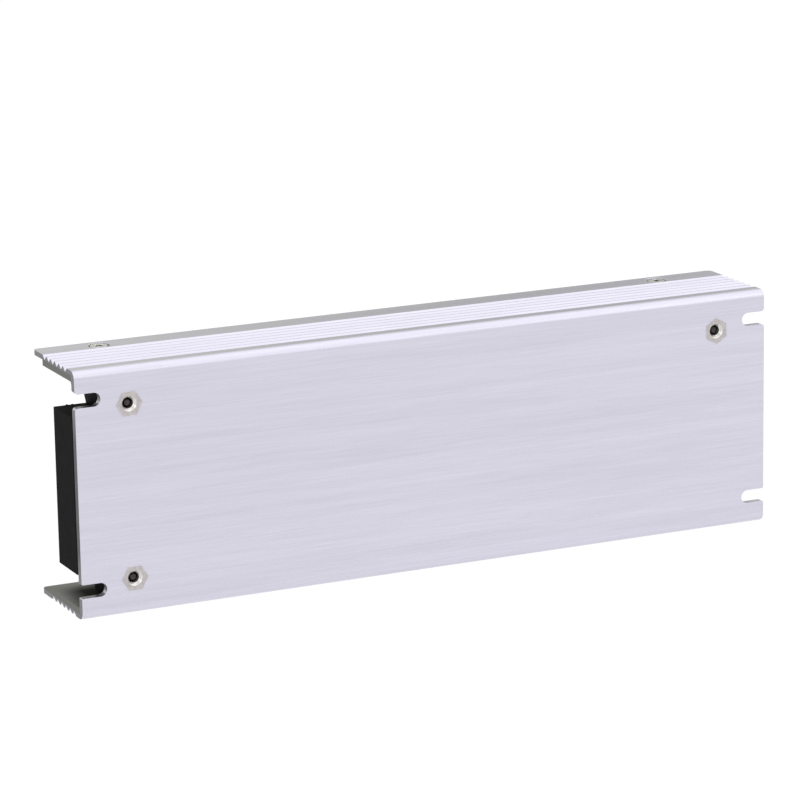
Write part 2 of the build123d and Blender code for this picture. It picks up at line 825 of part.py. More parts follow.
# Output filter capacitors, standing
with BuildPart() as output_capacitors:
    with BuildSketch(level(board_top)):
        with Locations(*[spot(place) for place in filter_places]):
            faceted(filter_diameter)
    extrude(amount=filter_height)
save(output_capacitors, "output_capacitors")

# Optocoupler in a small surface package, with its legs on the board
with BuildPart() as optocoupler:
    opto_z, opto_x = spot(optocoupler_place)
    with BuildSketch(level(board_top)):
        with Locations((opto_z, opto_x)):
            Rectangle(optocoupler_size[1], optocoupler_size[0])
    extrude(amount=optocoupler_size[2])
    with BuildSketch(level(board_top)):
        with Locations((opto_z, opto_x)):
            with GridLocations(1, device_lead_pitch, 1, 2):
                Rectangle(optocoupler_size[1] + 2 * optocoupler_leg_reach, lead_width)
    extrude(amount=lead_width)
save(optocoupler, "optocoupler")

# Controller in a flat surface package
with BuildPart() as controller_chip:
    with BuildSketch(level(board_top)):
        with Locations(spot(controller_place)):
            Rectangle(controller_size[1], controller_size[0])
    extrude(amount=controller_size[2])
save(controller_chip, "controller_chip")

# Indicator lamp with a bevelled end
with BuildPart() as indicator_lamp:
    with BuildSketch(level(board_top)):
        with Locations(spot(lamp_place)):
            faceted(lamp_diameter)
    extrude(amount=lamp_height)
    chamfer(indicator_lamp.edges().group_by(Axis.Y)[-1], lamp_bevel)
save(indicator_lamp, "indicator_lamp")

# Output trimmer: a square body with a rotor that a small driver turns
rotor_depth = board_top + trimmer_height - rotor_seat
with BuildPart() as trimmer_body:
    with BuildSketch(level(board_top)):
        with Locations(spot(trimmer_place)):
            Rectangle(trimmer_side, trimmer_side)
    extrude(amount=trimmer_height)
    with BuildSketch(level(rotor_depth)):
        with Locations(spot(trimmer_place)):
            clearance_hole(rotor_diameter + 2 * rotor_gap, Mode.ADD)
    extrude(amount=rotor_seat, mode=Mode.SUBTRACT)
save(trimmer_body, "trimmer_body")

with BuildPart() as trimmer_rotor:
    with BuildSketch(level(rotor_depth)):
        with Locations(spot(trimmer_place)):
            faceted(rotor_diameter)
    extrude(amount=rotor_seat + rotor_stand)
    with BuildSketch(level(rotor_depth + rotor_seat + rotor_stand)):
        with Locations(spot(trimmer_place)):
            Rectangle(rotor_diameter, cross_width)
            Rectangle(cross_width, rotor_diameter / 2)
    extrude(amount=-cross_deep, mode=Mode.SUBTRACT)
save(trimmer_rotor, "trimmer_rotor")

# Circuit board, on the standoffs inside the tray, drilled for every lead made above
with BuildPart() as circuit_board:
    with BuildSketch(level(board_bottom)):
        stepped_outline(tray_wall + board_gap)
        with Locations(*standoff_spots):
            clearance_hole(thread_diameter + 2 * board_screw_gap)
        for places, wide, thick in drilled:
            with Locations(*places):
                Rectangle(wide + 2 * lead_gap, thick + 2 * lead_gap, mode=Mode.SUBTRACT)
    extrude(amount=board_thick)
save(circuit_board, "circuit_board")

# Cover: a folded sheet that drops between the flange lips, with ears past the panel's ends
cover_width = width - 2 * (lip_wall + cover_gap)
ear_left = along(cover_screw_left - ear_reach)
ear_right = along(length - cover_screw_right + ear_reach)
cover_middle = (ear_left + ear_right) / 2
vent_field_pitch = vent_field_share * (ear_right - ear_left)
with BuildPart() as cover:
    with BuildSketch(Plane.YZ.offset(ear_left)) as fold:
        with Locations((half_depth - cover_side / 2, width / 2)):
            Rectangle(cover_side, cover_width)
        fillet(fold.vertices().group_by(Axis.X)[-1], cover_bend)
        with Locations((half_depth - cover_wall - cover_side / 2, width / 2)):
            Rectangle(cover_side, cover_width - 2 * cover_wall, mode=Mode.SUBTRACT)
    extrude(amount=ear_right - ear_left)
    with BuildSketch(level(cover_under)):
        with Locations((width / 2, ear_left), (width / 2, ear_right)):
            Rectangle(cover_width - 2 * cover_wall, 2 * panel_setback)
    extrude(amount=cover_wall, mode=Mode.SUBTRACT)
    with BuildSketch(level(cover_under)):
        with Locations((width / 2, cover_middle)):
            with GridLocations(1, vent_field_pitch, 1, vent_fields):
                with HexLocations(vent_pitch / 2, vent_rows, vent_columns, major_radius=False):
                    RegularPolygon(vent_across / 2, 6, major_radius=False, rotation=30)
    extrude(amount=cover_wall, mode=Mode.SUBTRACT)
    with BuildSketch(Plane.XY):
        with Locations(*cover_screw_spots):
            clearance_hole(thread_diameter + 2 * thread_gap, Mode.ADD)
    extrude(amount=width, mode=Mode.SUBTRACT)
save(cover, "cover")
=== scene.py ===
import json
import math

import bmesh
import bpy
from mathutils import Matrix, Vector


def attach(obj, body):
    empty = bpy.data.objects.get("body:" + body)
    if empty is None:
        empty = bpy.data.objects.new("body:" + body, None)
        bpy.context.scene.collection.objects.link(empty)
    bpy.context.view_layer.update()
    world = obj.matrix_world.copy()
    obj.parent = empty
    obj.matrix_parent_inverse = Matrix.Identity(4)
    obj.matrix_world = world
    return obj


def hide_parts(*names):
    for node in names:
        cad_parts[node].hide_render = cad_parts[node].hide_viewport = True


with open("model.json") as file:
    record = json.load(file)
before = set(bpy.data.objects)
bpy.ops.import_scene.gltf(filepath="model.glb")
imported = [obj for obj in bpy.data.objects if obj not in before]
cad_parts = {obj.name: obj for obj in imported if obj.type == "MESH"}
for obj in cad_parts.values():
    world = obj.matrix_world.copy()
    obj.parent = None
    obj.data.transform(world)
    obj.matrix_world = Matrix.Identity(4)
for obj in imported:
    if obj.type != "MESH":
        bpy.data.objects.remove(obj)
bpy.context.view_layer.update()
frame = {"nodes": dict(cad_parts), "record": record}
nodes = frame["nodes"]
MM = 0.001

# Sizes shared with the solids, in millimetres
LENGTH, WIDTH, DEPTH = 193.0, 63.0, 29.0
PLATE = 2.0
PLATE_INSIDE = PLATE - DEPTH / 2
BOARD_TOP = 8.6
TRAY_TOP = 16.0
STANDOFFS = ((14.1, 53.5, 90), (14.1, 9.1, 90), (178.6, 53.5, 3))
COVER_SCREWS = (16.0, 174.4)
COVER_SCREW_DEPTH = 25.0
# Faces nearer than this to the middle of the width are inside the channel
INSIDE_HALF = WIDTH / 2 - 1.2


def at(left, depth, z):
    """A point given from the left end, from the plate's outer face and from the bottom, in millimetres."""
    return Vector(((left - LENGTH / 2) * MM, (depth - DEPTH / 2) * MM, z * MM))


# Camera, fitted to the channel's corners in the photograph
LENS = 175.09
CAMERA_PLACE = (-0.410628, -0.880975, 0.278410)
CAMERA_RIGHT = (0.905571, -0.423854, -0.016995)
CAMERA_UP = (0.115311, 0.207413, 0.971434)
CAMERA_BACK = (-0.408220, -0.881662, 0.236702)

camera_data = bpy.data.cameras.new("camera")
camera_data.sensor_width = 36
camera_data.lens = LENS
camera_data.clip_start = 0.02
camera_data.clip_end = 60
camera = bpy.data.objects.new("camera", camera_data)
bpy.context.scene.collection.objects.link(camera)
axes = Matrix((CAMERA_RIGHT, CAMERA_UP, CAMERA_BACK)).transposed()
camera.matrix_world = Matrix.Translation(CAMERA_PLACE) @ axes.to_4x4()
bpy.context.scene.camera = camera
bpy.context.scene.view_settings.view_transform = "Standard"


# Node helpers
def tree_of(name):
    """A new material with its node tree and its shader."""
    m = bpy.data.materials.new(name)
    m.use_nodes = True
    return m, m.node_tree, m.node_tree.nodes["Principled BSDF"]


def link(tree, a, b):
    tree.links.new(a, b)


def object_point(tree, scale=(1, 1, 1), rotation=(0, 0, 0)):
    """Object coordinates in millimetres, stretched by scale."""
    point = tree.nodes.new("ShaderNodeTexCoord")
    mapping = tree.nodes.new("ShaderNodeMapping")
    mapping.inputs["Scale"].default_value = [1000 * s for s in scale]
    mapping.inputs["Rotation"].default_value = rotation
    link(tree, point.outputs["Object"], mapping.inputs["Vector"])
    return mapping.outputs["Vector"]


def noise(tree, vector, scale, detail=3.0, rough=0.5):
    """Smooth noise from 0 to 1."""
    n = tree.nodes.new("ShaderNodeTexNoise")
    n.inputs["Scale"].default_value = scale
    n.inputs["Detail"].default_value = detail
    n.inputs["Roughness"].default_value = rough
    link(tree, vector, n.inputs["Vector"])
    return n.outputs["Fac"]


def spread(tree, value, low, high, a=0.0, b=1.0):
    """Value from low to high, carried to a to b."""
    n = tree.nodes.new("ShaderNodeMapRange")
    n.inputs["From Min"].default_value = low
    n.inputs["From Max"].default_value = high
    n.inputs["To Min"].default_value = a
    n.inputs["To Max"].default_value = b
    link(tree, value, n.inputs["Value"])
    return n.outputs["Result"]


def sums(tree, operation, a, b=None):
    """Result of one sum, whose terms are numbers or sockets."""
    n = tree.nodes.new("ShaderNodeMath")
    n.operation = operation
    for socket, value in zip(n.inputs, (a, b)):
        if isinstance(value, (int, float)):
            socket.default_value = value
        elif value is not None:
            link(tree, value, socket)
    return n.outputs[0]


def blend_colour(tree, factor, a, b):
    """Colour a where factor is 0 and b where it is 1, each a colour or a socket."""
    n = tree.nodes.new("ShaderNodeMix")
    n.data_type = "RGBA"
    link(tree, factor, n.inputs["Factor"])
    for socket, value in ((n.inputs["A"], a), (n.inputs["B"], b)):
        if isinstance(value, tuple):
            socket.default_value = (*value, 1.0)
        else:
            link(tree, value, socket)
    return n.outputs["Result"]


def bump(tree, height, strength, distance_mm, normal=None):
    """Normal raised by a height, on top of another normal where one is given."""
    n = tree.nodes.new("ShaderNodeBump")
    n.inputs["Strength"].default_value = strength
    n.inputs["Distance"].default_value = distance_mm * MM
    link(tree, height, n.inputs["Height"])
    if normal is not None:
        link(tree, normal, n.inputs["Normal"])
    return n.outputs["Normal"]


def soft_edge(tree, radius_mm):
    """Normal that rounds the edges."""
    n = tree.nodes.new("ShaderNodeBevel")
    n.samples = 4
    n.inputs["Radius"].default_value = radius_mm * MM
    return n.outputs["Normal"]


def split(tree, vector):
    """X, Y and Z of a vector, by name."""
    n = tree.nodes.new("ShaderNodeSeparateXYZ")
    link(tree, vector, n.inputs["Vector"])
    return n.outputs


def from_middle(tree, value, middle):
    """Distance of a value from its middle, on either side."""
    return sums(tree, "ABSOLUTE", sums(tree, "SUBTRACT", value, middle))


def normal_share(tree, axis, low, high):
    """How far a face looks along one axis of the object, from 0 to 1."""
    g = tree.nodes.new("ShaderNodeNewGeometry")
    v = tree.nodes.new("ShaderNodeVectorTransform")
    v.vector_type = "NORMAL"
    v.convert_from = "WORLD"
    v.convert_to = "OBJECT"
    link(tree, g.outputs["True Normal"], v.inputs["Vector"])
    size = sums(tree, "ABSOLUTE", split(tree, v.outputs["Vector"])[axis])
    return spread(tree, size, low, high)


def inner_share(tree):
    """One on the faces inside the channel, which take a darker colour as painted shade and a higher
    roughness.
    """
    place = split(tree, object_point(tree))
    height = from_middle(tree, place["Z"], WIDTH / 2)
    low = spread(tree, height, INSIDE_HALF - 0.05, INSIDE_HALF + 0.05, 1.0, 0.0)
    deep = spread(tree, place["Y"], PLATE_INSIDE - 0.1, PLATE_INSIDE + 0.1)
    return sums(tree, "MULTIPLY", low, deep)


def tray_shade_share(tree):
    """One where painted shade darkens the inside faces beside the black tray, zero at the channel's ends and
    past the tray's rim.
    """
    place = split(tree, object_point(tree))
    along = sums(tree, "ABSOLUTE", place["X"])
    ends = spread(tree, along, LENGTH / 2 - 6.0, LENGTH / 2, 1.0, 0.0)
    rim = spread(tree, place["Y"], TRAY_TOP - DEPTH / 2, TRAY_TOP + 6.0 - DEPTH / 2, 1.0, 0.0)
    return sums(tree, "MULTIPLY", ends, rim)


def plate_end_share(tree):
    """One on the plate's sheared ends between the slots, zero elsewhere."""
    place = split(tree, object_point(tree))
    near = spread(tree, place["Y"], PLATE_INSIDE - 0.1, PLATE_INSIDE + 0.1, 1.0, 0.0)
    height = from_middle(tree, place["Z"], WIDTH / 2)
    return sums(tree, "MULTIPLY", near, spread(tree, height, 14.0, 21.0, 1.0, 0.0))


def sawn_end(tree, colour, roughness, cut):
    """The metal's colour and roughness with its sawn ends, whose colour is cut."""
    ends = normal_share(tree, "X", 0.85, 0.97)
    saw = noise(tree, object_point(tree, (1.0, 2.2, 0.5), (0.5, 0, 0)), 1.6, 4.0, 0.6)
    shade = spread(tree, saw, 0.3, 0.7, 0.86, 1.0)
    shade = sums(tree, "MULTIPLY", shade, spread(tree, plate_end_share(tree), 0.0, 1.0, 1.0, 0.42))
    sawn = tree.nodes.new("ShaderNodeMix")
    sawn.data_type = "RGBA"
    sawn.blend_type = "MULTIPLY"
    sawn.inputs["Factor"].default_value = 1.0
    sawn.inputs["A"].default_value = (*cut, 1.0)
    link(tree, shade, sawn.inputs["B"])
    colour = blend_colour(tree, ends, colour, sawn.outputs["Result"])
    return colour, sums(tree, "ADD", roughness, sums(tree, "MULTIPLY", ends, 0.14))


def shade_and_roughen_inside(tree, colour, roughness, inside):
    """The metal's colour and roughness with its inner faces, which are rougher and darkened as painted shade,
    most of all beside the tray.
    """
    within = inner_share(tree)
    beside = tray_shade_share(tree)
    # painted shade: beside the tray the inner faces go down to 6 percent of their colour
    shaded = blend_colour(tree, beside, inside, tuple(c * 0.06 for c in inside))
    colour = blend_colour(tree, within, colour, shaded)
    rougher = sums(tree, "MULTIPLY", within, spread(tree, beside, 0.0, 1.0, 0.16, 0.50))
    return colour, sums(tree, "ADD", roughness, rougher)


def brushed_metal(name, tone, dark, rough, grain=(0.07, 5.0, 5.0), cut=None, inside=None):
    """Metal brushed along X, with sawn ends and rougher inner faces darkened as painted shade, where cut and
    inside give their colours.
    """
    m, t, shader = tree_of(name)
    fine = noise(t, object_point(t, grain), 1.0, 5.0, 0.65)
    broad = noise(t, object_point(t, (0.012, 0.45, 0.45)), 1.0, 3.0, 0.55)
    dust = noise(t, object_point(t, (1.0, 6.0, 6.0)), 1.0, 2.0, 0.5)
    mixed = sums(t, "ADD", sums(t, "MULTIPLY", fine, 0.62), sums(t, "MULTIPLY", broad, 0.38))
    colour = blend_colour(t, spread(t, mixed, 0.3, 0.7), dark, tone)
    roughness = spread(t, dust, 0.3, 0.7, rough - 0.05, rough + 0.06)
    if cut:
        colour, roughness = sawn_end(t, colour, roughness, cut)
    if inside:
        colour, roughness = shade_and_roughen_inside(t, colour, roughness, inside)
    link(t, colour, shader.inputs["Base Color"])
    link(t, roughness, shader.inputs["Roughness"])
    shader.inputs["Metallic"].default_value = 1.0
    link(t, bump(t, fine, 0.12, 0.03, soft_edge(t, 0.12)), shader.inputs["Normal"])
    return m


def plated(name, tone, dark, rough, edge=0.08, scale=1.2):
    """Plated or plain steel with a mottled surface."""
    m, t, shader = tree_of(name)
    cloud = noise(t, object_point(t), scale, 4.0, 0.6)
    fine = noise(t, object_point(t), scale * 9, 2.0, 0.5)
    link(t, blend_colour(t, spread(t, cloud, 0.3, 0.7), dark, tone), shader.inputs["Base Color"])
    link(t, spread(t, fine, 0.3, 0.7, rough - 0.06, rough + 0.08), shader.inputs["Roughness"])
    shader.inputs["Metallic"].default_value = 1.0
    normal = soft_edge(t, edge) if edge else None
    link(t, bump(t, fine, 0.08, 0.02, normal), shader.inputs["Normal"])
    return m


def moulded(name, tone, light, rough, grain=3.0, level=0.2, edge=0.2, gloss=0.4):
    """Moulded plastic with a fine texture, mottled with a paler tone."""
    m, t, shader = tree_of(name)
    cloud = noise(t, object_point(t), 0.25, 4.0, 0.6)
    fine = noise(t, object_point(t), grain, 3.0, 0.6)
    mixed = sums(t, "ADD", sums(t, "MULTIPLY", cloud, 0.6), sums(t, "MULTIPLY", fine, 0.4))
    link(t, blend_colour(t, spread(t, mixed, 0.35, 0.68), tone, light), shader.inputs["Base Color"])
    link(t, spread(t, cloud, 0.3, 0.7, rough - 0.06, rough + 0.08), shader.inputs["Roughness"])
    shader.inputs["Specular IOR Level"].default_value = gloss
    link(t, bump(t, fine, level, 0.04, soft_edge(t, edge)), shader.inputs["Normal"])
    return m


def laminate(name):
    """Green solder mask over copper tracks, with edges of bare laminate."""
    m, t, shader = tree_of(name)
    cells = t.nodes.new("ShaderNodeTexBrick")
    cells.inputs["Scale"].default_value = 1.0
    cells.inputs["Mortar Size"].default_value = 0.05
    cells.inputs["Brick Width"].default_value = 1.3
    cells.inputs["Row Height"].default_value = 0.6
    turned = object_point(t, (0.16, 0.16, 0.16), (math.pi / 2, 0, 0))
    link(t, turned, cells.inputs["Vector"])
    gaps = spread(t, cells.outputs["Fac"], 0.2, 0.8)
    weave = noise(t, object_point(t, (2.0, 0.4, 2.0)), 1.0, 2.0, 0.5)
    field = blend_colour(t, gaps, (0.012, 0.12, 0.035), (0.008, 0.055, 0.02))
    edge = normal_share(t, "Y", 0.3, 0.8)
    link(t, blend_colour(t, edge, (0.30, 0.31, 0.16), field), shader.inputs["Base Color"])
    link(t, spread(t, weave, 0.3, 0.7, 0.22, 0.34), shader.inputs["Roughness"])
    link(t, bump(t, sums(t, "SUBTRACT", weave, gaps), 0.25, 0.04), shader.inputs["Normal"])
    return m


# Materials: the record's slots, and cover_screw_steel, recess_shade and can_metal, which only the scene has
# Each metal's tone, dark tone and roughness, then its edge's radius and its mottling's scale
PLATED = {
    "bright_steel": ((0.60, 0.56, 0.56), (0.46, 0.425, 0.425), 0.30),
    "dark_steel": ((0.11, 0.085, 0.085), (0.04, 0.031, 0.032), 0.34, 0.08, 2.5),
    "contact_metal": ((0.70, 0.66, 0.55), (0.55, 0.50, 0.38), 0.27),
    "cover_screw_steel": ((0.80, 0.79, 0.77), (0.62, 0.60, 0.57), 0.22),
    "recess_shade": ((0.10, 0.095, 0.085), (0.04, 0.037, 0.033), 0.45),
    "can_metal": ((0.76, 0.76, 0.77), (0.66, 0.66, 0.67), 0.34, 0.0),
    "enamel_wire": ((0.62, 0.23, 0.075), (0.42, 0.13, 0.035), 0.22, 0.0),
}
# Each plastic's tone, light tone and roughness, then its grain, the grain's level, its edge and its gloss
MOULDED = {
    "tray_plastic": ((0.006, 0.006, 0.007), (0.012, 0.0115, 0.0135), 0.65, 2.2, 0.12, 0.1, 0.03),
    "terminal_plastic": ((0.012, 0.012, 0.013), (0.022, 0.022, 0.023), 0.42),
    "ferrite": ((0.025, 0.025, 0.028), (0.06, 0.06, 0.065), 0.55, 5.0, 0.3, 0.15, 0.35),
    "winding_tape": ((0.62, 0.42, 0.03), (0.72, 0.52, 0.07), 0.25, 1.2, 0.1, 0.1, 0.55),
    "bobbin_plastic": ((0.02, 0.02, 0.02), (0.035, 0.034, 0.033), 0.4),
    "film_box": ((0.50, 0.33, 0.03), (0.60, 0.42, 0.06), 0.3, 2.0, 0.1, 0.25, 0.5),
    "disc_coating": ((0.015, 0.07, 0.25), (0.03, 0.11, 0.34), 0.3, 2.0, 0.15, 0.2, 0.5),
    "thermistor_coating": ((0.02, 0.06, 0.025), (0.04, 0.09, 0.04), 0.35, 2.0, 0.2, 0.2, 0.5),
    "device_plastic": ((0.011, 0.011, 0.012), (0.022, 0.022, 0.023), 0.48, 5.0, 0.25),
    "pad_silicone": ((0.30, 0.33, 0.35), (0.38, 0.41, 0.43), 0.6, 1.5, 0.15, 0.05, 0.3),
    "fuse_body": ((0.66, 0.61, 0.50), (0.74, 0.70, 0.62), 0.28, 1.0, 0.08, 0.1, 0.5),
    "capacitor_sleeve": ((0.012, 0.014, 0.035), (0.02, 0.024, 0.055), 0.26, 1.0, 0.08, 0.2, 0.5),
    "lamp_lens": ((0.03, 0.30, 0.05), (0.06, 0.42, 0.09), 0.15, 1.0, 0.03, 0.1, 0.5),
    "trimmer_case": ((0.02, 0.08, 0.32), (0.035, 0.11, 0.40), 0.35, 2.5, 0.15, 0.2, 0.45),
    "trimmer_white": ((0.66, 0.65, 0.60), (0.74, 0.73, 0.68), 0.4, 2.5, 0.1, 0.15, 0.4),
}
finish = {name: plated(name, *look) for name, look in PLATED.items()}
finish.update({name: moulded(name, *look) for name, look in MOULDED.items()})
# inside, the inner faces' colour, is darker than the tone as painted shade
finish["anodised_aluminium"] = brushed_metal(
    "anodised_aluminium", (0.714, 0.698, 0.795), (0.600, 0.587, 0.673), 0.31,
    cut=(0.215, 0.211, 0.222), inside=(0.18, 0.185, 0.172),
)
finish["cover_sheet"] = brushed_metal(
    "cover_sheet", (0.60, 0.605, 0.62), (0.50, 0.505, 0.52), 0.38, grain=(0.1, 3.0, 3.0),
)
finish["board_laminate"] = laminate("board_laminate")

slot_of = {part["node"]: part["material_slot"] for part in frame["record"]["subparts"]}
for name, node in nodes.items():
    node.data.materials.clear()
    node.data.materials.append(finish[slot_of[name]])


# Mesh helpers
def frame_for(left, depth, z, way):
    """Local axes whose Z points along way, one of the model's own axes."""
    axes = {
        "Y": ((1, 0, 0), (0, 0, -1), (0, 1, 0)),
        "Z": ((1, 0, 0), (0, 1, 0), (0, 0, 1)),
        "-Z": ((1, 0, 0), (0, -1, 0), (0, 0, -1)),
        "X": ((0, 1, 0), (0, 0, 1), (1, 0, 0)),
    }[way]
    return Matrix.Translation(at(left, depth, z)) @ Matrix(axes).transposed().to_4x4()


def clamp(value):
    return max(0.0, min(1.0, value))


def ring(radius, height, sides, shape=None):
    """Points of a circle in millimetres, which shape may change by radius, height and angle."""
    points = []
    for n in range(sides):
        angle = 2 * math.pi * n / sides
        r, h = shape(radius, height, angle) if shape else (radius, height)
        points.append(Vector((r * math.cos(angle), r * math.sin(angle), h)))
    return points


SMOOTH_ANGLE = math.radians(35)


class Piece:
    """A mesh made of rows of points, in millimetres in local axes."""

    def __init__(self, name, materials):
        self.name = name
        self.materials = [materials] if isinstance(materials, str) else list(materials)
        self.points, self.faces, self.tints = [], [], []

    def rows(self, rows, place, tint=0, closed=True, first=False, last=False):
        """Skin over the rows; tint is its material's number, or finds it from the middle of each face."""
        start = len(self.points)
        count = len(rows[0])
        for row in rows:
            for p in row:
                self.points.append(place @ Vector([c * MM for c in p]))
        for n in range(len(rows) - 1):
            for k in range(count if closed else count - 1):
                a, b = start + n * count + k, start + n * count + (k + 1) % count
                self.faces.append((a, b, b + count, a + count))
                middle = (rows[n][k] + rows[n + 1][(k + 1) % count]) / 2
                self.tints.append(tint(middle) if callable(tint) else tint)
        ends = ([0] if first else []) + ([len(rows) - 1] if last else [])
        for n in ends:
            self.faces.append(tuple(start + n * count + k for k in range(count)))
            self.tints.append(tint)

    def lathe(self, profile, place, sides, shape=None, tint=0, first=False):
        """Surface turned about Z from pairs of radius and height."""
        self.rows([ring(r, h, sides, shape) for r, h in profile], place, tint, first=first)

    def tube(self, path, radius, place, sides=8, tint=0):
        """Round wire along a path of points."""
        path = [Vector(p) for p in path]
        across = None
        rows = []
        for n, p in enumerate(path):
            way = (path[min(n + 1, len(path) - 1)] - path[max(n - 1, 0)]).normalized()
            if across is None:
                across = way.orthogonal().normalized()
            across = (across - way * across.dot(way)).normalized()
            side = way.cross(across)
            turn = [2 * math.pi * k / sides for k in range(sides)]
            rows.append([p + (across * math.cos(a) + side * math.sin(a)) * radius for a in turn])
        self.rows(rows, place, tint, first=True, last=True)

    def done(self, body="enclosure", replaced=()):
        """Make the object, smooth where its faces meet at a small angle, and hand it to its body."""
        data = bpy.data.meshes.new(self.name)
        data.from_pydata(self.points, [], self.faces)
        for material in self.materials:
            data.materials.append(finish[material])
        data.polygons.foreach_set("material_index", self.tints)
        work = bmesh.new()
        work.from_mesh(data)
        bmesh.ops.remove_doubles(work, verts=work.verts, dist=5e-7)
        bmesh.ops.recalc_face_normals(work, faces=work.faces)
        for f in work.faces:
            f.smooth = True
        for e in work.edges:
            e.smooth = len(e.link_faces) == 2 and e.calc_face_angle(0.0) < SMOOTH_ANGLE
        work.to_mesh(data)
        work.free()
        o = bpy.data.objects.new(self.name, data)
        bpy.context.scene.collection.objects.link(o)
        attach(o, body)
        if replaced:
            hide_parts(*replaced)


def thread(outer, inner, pitch, low, high=None, offset=0.0):
    """Shape of a screw thread between two radii; it runs out at low, and at high where that is given."""

    def shape(radius, height, angle):
        share = ((height + offset) / pitch - angle / (2 * math.pi)) % 1.0
        crest = clamp(1.7 * (1 - abs(2 * share - 1)) - 0.35)
        crest *= clamp((height - low) / pitch)
        if high is not None:
            crest *= clamp((high - height) / pitch)
        return inner + (outer - inner) * crest, height

    return shape


def steps(start, end, size):
    """Even steps from start to end, about size apart."""
    count = max(1, round(abs(end - start) / size))
    return [start + (end - start) * n / count for n in range(count + 1)]


def driven(reach, width, deep, slot_reach=0.0, taper=0.35):
    """Shape of a head's top with a cross recess, and a full slot where slot_reach is given."""

    def shape(radius, height, angle):
        x, y = abs(radius * math.cos(angle)), abs(radius * math.sin(angle))
        cut = 0.0
        for a, b, far in ((x, y, reach / 2), (y, x, slot_reach / 2 or reach / 2)):
            wall = clamp((width / 2 - a) / 0.10)
            end = clamp((far - b) / (taper if far < slot_reach / 2 or not slot_reach else 0.05))
            cut = max(cut, wall * end)
        centre = clamp(1.0 - radius / (width * 0.9)) * 0.25
        return radius, height - deep * (cut + centre * cut)

    return shape


def screw(piece, place, head, recess, size, length, offset=0.0, tip=0.45):
    """Head, threaded shank and tip, by height outwards; size is the thread's two radii and its pitch.

    The recess takes the piece's second material, which is dark as painted shade.
    """
    inner, pitch = size[1:]
    radius, top = head[0]
    shoulder = head[-1][1]
    face = [(radius * n / 26, top) for n in range(27)]
    # faces deeper than 0.22 in the recess take the second material: painted shade
    piece.lathe(face, place, 72, recess, lambda p: 1 if p.z < top - 0.22 else 0)
    piece.lathe(head, place, 72)
    last = -length + tip
    piece.lathe([head[-1], (inner, shoulder)], place, 72)
    turns = [(size[0], h) for h in steps(shoulder, last, pitch / 7)]
    piece.lathe(turns, place, 36, thread(*size, last, shoulder, offset))
    point = [(inner, last), (inner * 0.62, -length), (inner * 0.5, -length + 0.08), (0, -length + 0.12)]
    piece.lathe(point, place, 36)


# Threads: outer radius, inner radius and pitch
BOARD_PITCH = 0.5
BORE_THREAD = (1.54, 1.30, BOARD_PITCH)
BOARD_THREAD = (1.5, 1.26, BOARD_PITCH)
SMALL_THREAD = (1.48, 1.24, 0.5)
TERMINAL_THREAD = (1.74, 1.45, 0.6)


# Clinch standoffs with a hexagon flush in the plate, and a threaded bore
def hexagon(apothem, start, soft):
    """Shape of a hexagon's outline, drawn in by the radius, with its corners cut by soft."""

    def shape(radius, height, angle):
        corner = (angle - math.radians(start)) % (math.pi / 3) - math.pi / 6
        reach = (apothem - radius) / math.cos(corner)
        return min(reach, (apothem - radius) / math.cos(math.pi / 6) - soft), height

    return shape


# Half widths of each hexagon's seat and of what shows of it inside the metal pressed over its edge
SEAT, VISIBLE = 3.212, 3.0
# How far each hexagon looks turned in its seat, in degrees
SETTLED = (3.0, 1.5, 4.5)
SIDES = 240
metals = ["bright_steel", "anodised_aluminium", "recess_shade", "cover_screw_steel"]
piece = Piece("threaded_standoffs", metals)
for (left, z, turned), settled in zip(STANDOFFS, SETTLED):
    place = frame_for(left, 0, z, "Y")
    seat = hexagon(SEAT, 90 + turned, 0.0)
    head = hexagon(VISIBLE, 90 + turned - settled, 0.04)
    rim = [ring(0.0, 2.0, SIDES, seat), ring(0.0, 0.0, SIDES, seat), ring(0.0, 0.0, SIDES, head)]
    piece.rows(rim, place, 1)
    rows = [ring(r, h, SIDES, head) for r, h in ((0.0, 0.0), (0.03, 0.05), (0.09, 0.02))]
    turned_ring = ((2.42, 0.02), (2.34, 0.05), (2.26, 0.02), (1.98, 0.02), (1.94, 0.05))
    rows += [ring(r, h, SIDES) for r, h in turned_ring]
    piece.rows(rows, place)
    # chamfer with a step in the paler cover screw steel as painted highlight, then the thread in recess_shade
    # as painted shade
    piece.lathe([(1.94, 0.05), (1.58, 0.41), (1.68, 0.58), (1.34, 0.92)], place, SIDES, tint=3)
    bore = [(1.5, h) for h in steps(0.92, 6.9, BOARD_PITCH / 7)]
    piece.lathe(bore, place, 72, thread(*BORE_THREAD, 0.6), 2)
    piece.lathe([(1.55, 6.9), (1.8, 7.0), (2.42, 7.0), (2.5, 6.9), (2.5, 2.0), (2.9, 2.0)], place, 72)
piece.done(replaced=["board_standoffs"])

# Screw heads as pairs of radius and height, from the top's edge to the shank
PAN_HEAD = (
    (1.75, 2.19), (2.15, 2.05), (2.48, 1.75), (2.69, 1.3),
    (2.78, 0.7), (2.79, 0.1), (2.7, 0.0), (1.5, 0.0),
)
SUNK_HEAD = ((2.12, -0.05), (2.24, -0.10), (2.28, -0.30), (2.2, -0.60), (1.45, -1.36))
CROSS = driven(3.0, 0.85, 1.0)
SUNK_CROSS = driven(2.9, 0.8, 0.9)
SLOTTED_CROSS = driven(2.9, 0.9, 0.95, 5.9)

piece = Piece("threaded_board_screws", ["dark_steel", "recess_shade"])
for left, z, turned in STANDOFFS:
    place = frame_for(left, BOARD_TOP, z, "Y")
    screw(piece, place, PAN_HEAD, CROSS, BOARD_THREAD, length=7.0, offset=BOARD_TOP, tip=0.6)
piece.done(replaced=["board_screws"])

